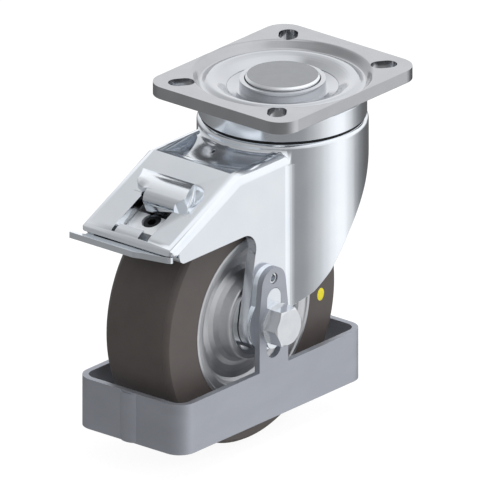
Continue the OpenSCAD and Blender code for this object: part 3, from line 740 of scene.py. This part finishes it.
@dataclass
class Wheel:
    """The polyurethane tread on its cast centre, with the bearings' outer parts.

    Attributes:
        side_y: Where the tread's near side starts, at the radius side_from.
        side_from: The radius from which the side draws in.
        side_slope: How much the side draws in per millimetre of radius.
        dot_at: The paint dot's place from the axle, along X and Z.
        dot_radii: The dot's radii along X and Z.
        dot_rise: The paint's thickness.
        dot_drop: How far the dome falls at its edge, in times its thickness; over 1 dips under the side.
        dot_flatness: Power of the dome's fall; a high one keeps its top flat.
        dot_rings: Rings of faces in the dot.
        dot_sides: Faces in each ring.
    """

    side_y: float = -20.0
    side_from: float = 41.2
    side_slope: float = 0.0516
    dot_at: tuple[float, float] = (49.1, -4.3)
    dot_radii: tuple[float, float] = (2.7, 3.3)
    dot_rise: float = 0.25
    dot_drop: float = 1.2
    dot_flatness: int = 4
    dot_rings: int = 5
    dot_sides: int = 32

    def dress(self) -> None:
        """Give the wheel's solids their finishes."""
        dress("tread", CAST_POLYURETHANE)
        dress("wheel_centre", CAST_ALUMINIUM)
        dress("bearing_outer_rings", POLISHED_STEEL)
        dress("bearing_seals", MOULDED_RUBBER)

    def on_side(self, dx: float, dz: float, rise: float) -> Vector:
        """Return the place of a point over the tread's near side.

        Args:
            dx: Distance from the axle along X, in millimetres.
            dz: Distance from the axle along Z.
            rise: Height over the side.

        Returns:
            The place in metres.
        """
        inward = self.side_slope * (math.hypot(dx, dz) - self.side_from)
        return Vector((AXLE[0] + dx, self.side_y + inward - rise, AXLE[2] + dz)) * MM

    def paint_dot(self) -> bpy.types.Object:
        """Make the dab of marking paint on the tread's near side.

        Returns:
            The dot's object.
        """
        def fill(bm: bmesh.types.BMesh) -> None:
            """Draw a low dome whose edge dips just under the side.

            Args:
                bm: The mesh to draw into.
            """
            top = bm.verts.new(self.on_side(*self.dot_at, self.dot_rise))
            last: list[bmesh.types.BMVert] = []
            for i in range(1, self.dot_rings + 1):
                share = i / self.dot_rings
                row = []
                for j in range(self.dot_sides):
                    a = math.tau * j / self.dot_sides
                    dx = self.dot_at[0] + self.dot_radii[0] * share * math.cos(a)
                    dz = self.dot_at[1] + self.dot_radii[1] * share * math.sin(a)
                    rise = self.dot_rise * (1 - self.dot_drop * share ** self.dot_flatness)
                    row.append(bm.verts.new(self.on_side(dx, dz, rise)))
                for j in range(self.dot_sides):
                    k = (j + 1) % self.dot_sides
                    bm.faces.new((last[j], last[k], row[k], row[j]) if last else (top, row[k], row[j]))
                last = row

        return mesh_piece("paint_dot", fill, MARKING_PAINT, Body.WHEEL)


@dataclass
class AxleStack:
    """Axle bolt, nut, washers, tube and what the bearings' inner rings clamp on."""

    def dress(self) -> None:
        """Give the axle's solids their finishes."""
        for node in ("axle_bolt", "axle_nut", "axle_washers"):
            dress(node, BOLT_ZINC)
        for node in ("bearing_spacer", "distance_rings", "axle_tube"):
            dress(node, TURNED_STEEL)
        for node in ("bearing_inner_rings", "bearing_balls"):
            dress(node, POLISHED_STEEL)


@dataclass
class FootGuard:
    """The flat-bar guard, its guide plates and pins."""

    def dress(self) -> None:
        """Give the guard's solids their finishes."""
        dress("foot_guard", GUARD_ZINC)
        dress("guide_plates", FORK_ZINC)
        dress("locating_pins", BOLT_ZINC)


@dataclass
class Studio:
    """Floor, light and camera of the product view.

    Attributes:
        azimuth: Camera azimuth in degrees; 0 looks along +Y.
        elevation: Camera elevation in degrees.
        width_mm: Width that the view takes in.
        centre_mm: What the picture's middle shows, along its right and up directions.
        distance_mm: Distance of the camera from the middle of the mounting face.
        floor_z: Height of the floor.
        floor_half_m: Half the floor's width.
        floor_grey: The floor's linear colour, which lamp and shadow act on.
        floor_glow: Strength of the floor's own light, which makes the rest of its near white.
        lamp_at: The lamp's place in metres.
        lamp_aim: The place in metres that it faces.
        lamp_size_m: Its length and width.
        lamp_watts: Its power.
        low_ring: Azimuths and brightnesses below the horizon.
        middle_ring: The same a little above it.
        high_ring: The same high up.
        zenith: Brightness straight overhead.
        changes: How far up a direction points, from -1 to 1, where each next ring starts and is full.
        brightest: Brightness that stands for 1 in the rings' ramps; no ring goes over it.
    """

    azimuth: float = -50.0
    elevation: float = 22.0
    width_mm: float = 222.74
    centre_mm: tuple[float, float] = (-19.79, -77.40)
    distance_mm: float = 900.0
    floor_z: float = -165.0
    floor_half_m: float = 2.0
    floor_grey: float = 0.14
    floor_glow: float = 0.93
    lamp_at: tuple[float, float, float] = (0.15, -0.35, 0.85)
    lamp_aim: tuple[float, float, float] = (-0.04, 0.0, -0.1)
    lamp_size_m: tuple[float, float] = (0.9, 0.6)
    lamp_watts: float = 5.0

    # Brightness of the studio round the object, by azimuth in degrees: low down, at eye level, high up.
    low_ring: tuple[tuple[float, float], ...] = (
        (180, 0.27), (220, 0.29), (246, 0.33), (250, 0.36), (259, 0.46), (270, 0.60), (280, 0.80),
        (292, 1.00), (300, 1.10), (311, 1.10), (320, 0.89), (328, 0.71), (336, 0.42), (348, 0.24),
        (362, 0.15), (375, 0.13), (400, 0.14), (434, 0.20), (500, 0.305), (540, 0.27),
    )
    middle_ring: tuple[tuple[float, float], ...] = (
        (180, 0.45), (220, 0.55), (260, 0.85), (300, 1.10), (340, 1.10), (370, 1.02), (397, 1.08),
        (412, 1.08), (440, 0.72), (475, 0.45), (501, 0.39), (540, 0.45),
    )
    high_ring: tuple[tuple[float, float], ...] = (
        (180, 0.60), (230, 0.85), (270, 1.10), (300, 1.15), (340, 1.12), (380, 0.95), (410, 0.80),
        (434, 0.68), (482, 0.46), (510, 0.48), (540, 0.60),
    )
    zenith: float = 1.05
    changes: tuple[tuple[float, float], ...] = ((-0.30, 0.10), (0.45, 0.75), (0.92, 1.0))
    brightest: float = 1.25

    def build(self) -> None:
        """Make the floor, the light and the camera."""
        self.floor()
        self.surroundings()
        self.lamp()
        self.camera()

    def floor(self) -> None:
        """Make the pale floor, which keeps the object's shadow and which the object doesn't mirror."""
        mesh = bpy.data.meshes.new("studio_floor")
        half, z = self.floor_half_m, self.floor_z * MM
        mesh.from_pydata([(-half, -half, z), (half, -half, z), (half, half, z), (-half, half, z)], [],
                         [(0, 1, 2, 3)])
        floor = bpy.data.objects.new("studio_floor", mesh)
        bpy.context.scene.collection.objects.link(floor)
        material = bpy.data.materials.new("pale_floor")
        material.use_nodes = True
        tree = material.node_tree
        tree.nodes.clear()
        lit = add_node(tree, "BsdfDiffuse", inputs={"Color": (*[self.floor_grey] * 3, 1.0)})
        glow = add_node(tree, "Emission", inputs={
            "Color": (1.0, 1.0, 1.0, 1.0), "Strength": self.floor_glow,
        })
        both = add_node(tree, "AddShader", inputs={0: lit.outputs["BSDF"], 1: glow.outputs["Emission"]})
        add_node(tree, "OutputMaterial", inputs={"Surface": both.outputs["Shader"]})
        mesh.materials.append(material)
        floor.visible_glossy = False
        floor.visible_diffuse = False
        floor.visible_shadow = False

    def ring(self, tree: bpy.types.NodeTree, turn: Socket, stops: Sequence[tuple[float, float]]) -> Socket:
        """Turn a list of azimuths and brightnesses into a ramp.

        Args:
            tree: The world's node tree.
            turn: Azimuth of the direction, from 0 at 180 degrees to 1 a full turn on.
            stops: Azimuths and brightnesses.

        Returns:
            The brightness.
        """
        colours = [((a - 180) / 360, (*[b / self.brightest] * 3, 1.0)) for a, b in stops]
        shade = ramp(tree, turn, colours, "EASE")
        return add_node(tree, "Math", {"operation": "MULTIPLY"}, {
            0: shade, 1: self.brightest,
        }).outputs["Value"]

    def surroundings(self) -> None:
        """Light the object by the studio round it; the camera sees plain white."""
        world = bpy.data.worlds.new("studio")
        bpy.context.scene.world = world
        world.use_nodes = True
        tree = world.node_tree
        tree.nodes.clear()
        way = add_node(tree, "TexCoord").outputs["Generated"]
        parts = add_node(tree, "SeparateXYZ", inputs={"Vector": way})
        angle = add_node(tree, "Math", {"operation": "ARCTAN2"}, {
            0: parts.outputs["Y"], 1: parts.outputs["X"],
        }).outputs["Value"]
        turn = add_node(tree, "MapRange", inputs={
            "Value": angle, "From Min": -math.pi, "From Max": math.pi, "To Min": 0.0, "To Max": 1.0,
        }).outputs["Result"]
        around = self.ring(tree, turn, self.low_ring)
        upper_rings = (self.ring(tree, turn, self.middle_ring), self.ring(tree, turn, self.high_ring),
                       self.zenith)
        for upper, (start, end) in zip(upper_rings, self.changes):
            rise = add_node(tree, "MapRange", {"interpolation_type": "SMOOTHSTEP"}, {
                "Value": parts.outputs["Z"], "From Min": start, "From Max": end,
            }).outputs["Result"]
            # A Mix node's sockets 2 and 3 and its output 0 are the plain numbers.
            around = add_node(tree, "Mix", {"data_type": "FLOAT"}, {
                0: rise, 2: around, 3: upper,
            }).outputs[0]
        light = add_node(tree, "Background", inputs={"Color": (0.985, 0.992, 1.0, 1.0), "Strength": around})
        white = add_node(tree, "Background", inputs={"Color": (1.0, 1.0, 1.0, 1.0), "Strength": 1.0})
        seen = add_node(tree, "LightPath").outputs["Is Camera Ray"]
        mix = add_node(tree, "MixShader", inputs={
            "Fac": seen, 1: light.outputs["Background"], 2: white.outputs["Background"],
        })
        add_node(tree, "OutputWorld", inputs={"Surface": mix.outputs["Shader"]})

    def lamp(self) -> None:
        """Hang one large soft lamp above and to the right, for the shadow under the object."""
        lamp = bpy.data.lights.new("overhead_softbox", "AREA")
        lamp.shape = "RECTANGLE"
        lamp.size, lamp.size_y = self.lamp_size_m
        lamp.energy = self.lamp_watts
        holder = bpy.data.objects.new("overhead_softbox", lamp)
        bpy.context.scene.collection.objects.link(holder)
        spot = Vector(self.lamp_at)
        holder.location = spot
        holder.visible_glossy = False
        holder.rotation_mode = "QUATERNION"
        holder.rotation_quaternion = (Vector(self.lamp_aim) - spot).to_track_quat("-Z", "Y")

    def camera(self) -> None:
        """Place the camera at the product view's angle."""
        a, e = math.radians(self.azimuth), math.radians(self.elevation)
        right = Vector((math.cos(a), math.sin(a), 0.0))
        back = Vector((math.sin(a) * math.cos(e), -math.cos(a) * math.cos(e), math.sin(e)))
        up = back.cross(right)
        data = bpy.data.cameras.new("product_view")
        data.type = "ORTHO"
        data.ortho_scale = self.width_mm * MM
        data.clip_start, data.clip_end = 0.01, 10.0
        camera = bpy.data.objects.new("product_view", data)
        bpy.context.scene.collection.objects.link(camera)
        spot = right * self.centre_mm[0] + up * self.centre_mm[1] + back * self.distance_mm
        turned = Matrix((right, up, back)).transposed().to_4x4()
        camera.matrix_world = Matrix.Translation(spot * MM) @ turned
        bpy.context.scene.camera = camera


def main() -> None:
    """Build the stage, dress every assembly and report each."""
    logging.basicConfig(level=logging.INFO, format="%(name)s: %(message)s")
    bpy.context.scene.view_settings.view_transform = "Standard"
    Studio().build()
    LOG.info("studio ready")
    wheel = Wheel()
    fork = Fork()
    for part in (MountingPlate(), fork, Brake(), wheel, AxleStack(), FootGuard()):
        part.dress()
        LOG.info("%s dressed", type(part).__name__)
    for piece in (fork.cut_fork(), fork.pressed_bulge(), wheel.paint_dot()):
        LOG.info("%s: %d faces", piece.name, len(piece.data.polygons))


if __name__ == "__main__":
    main()
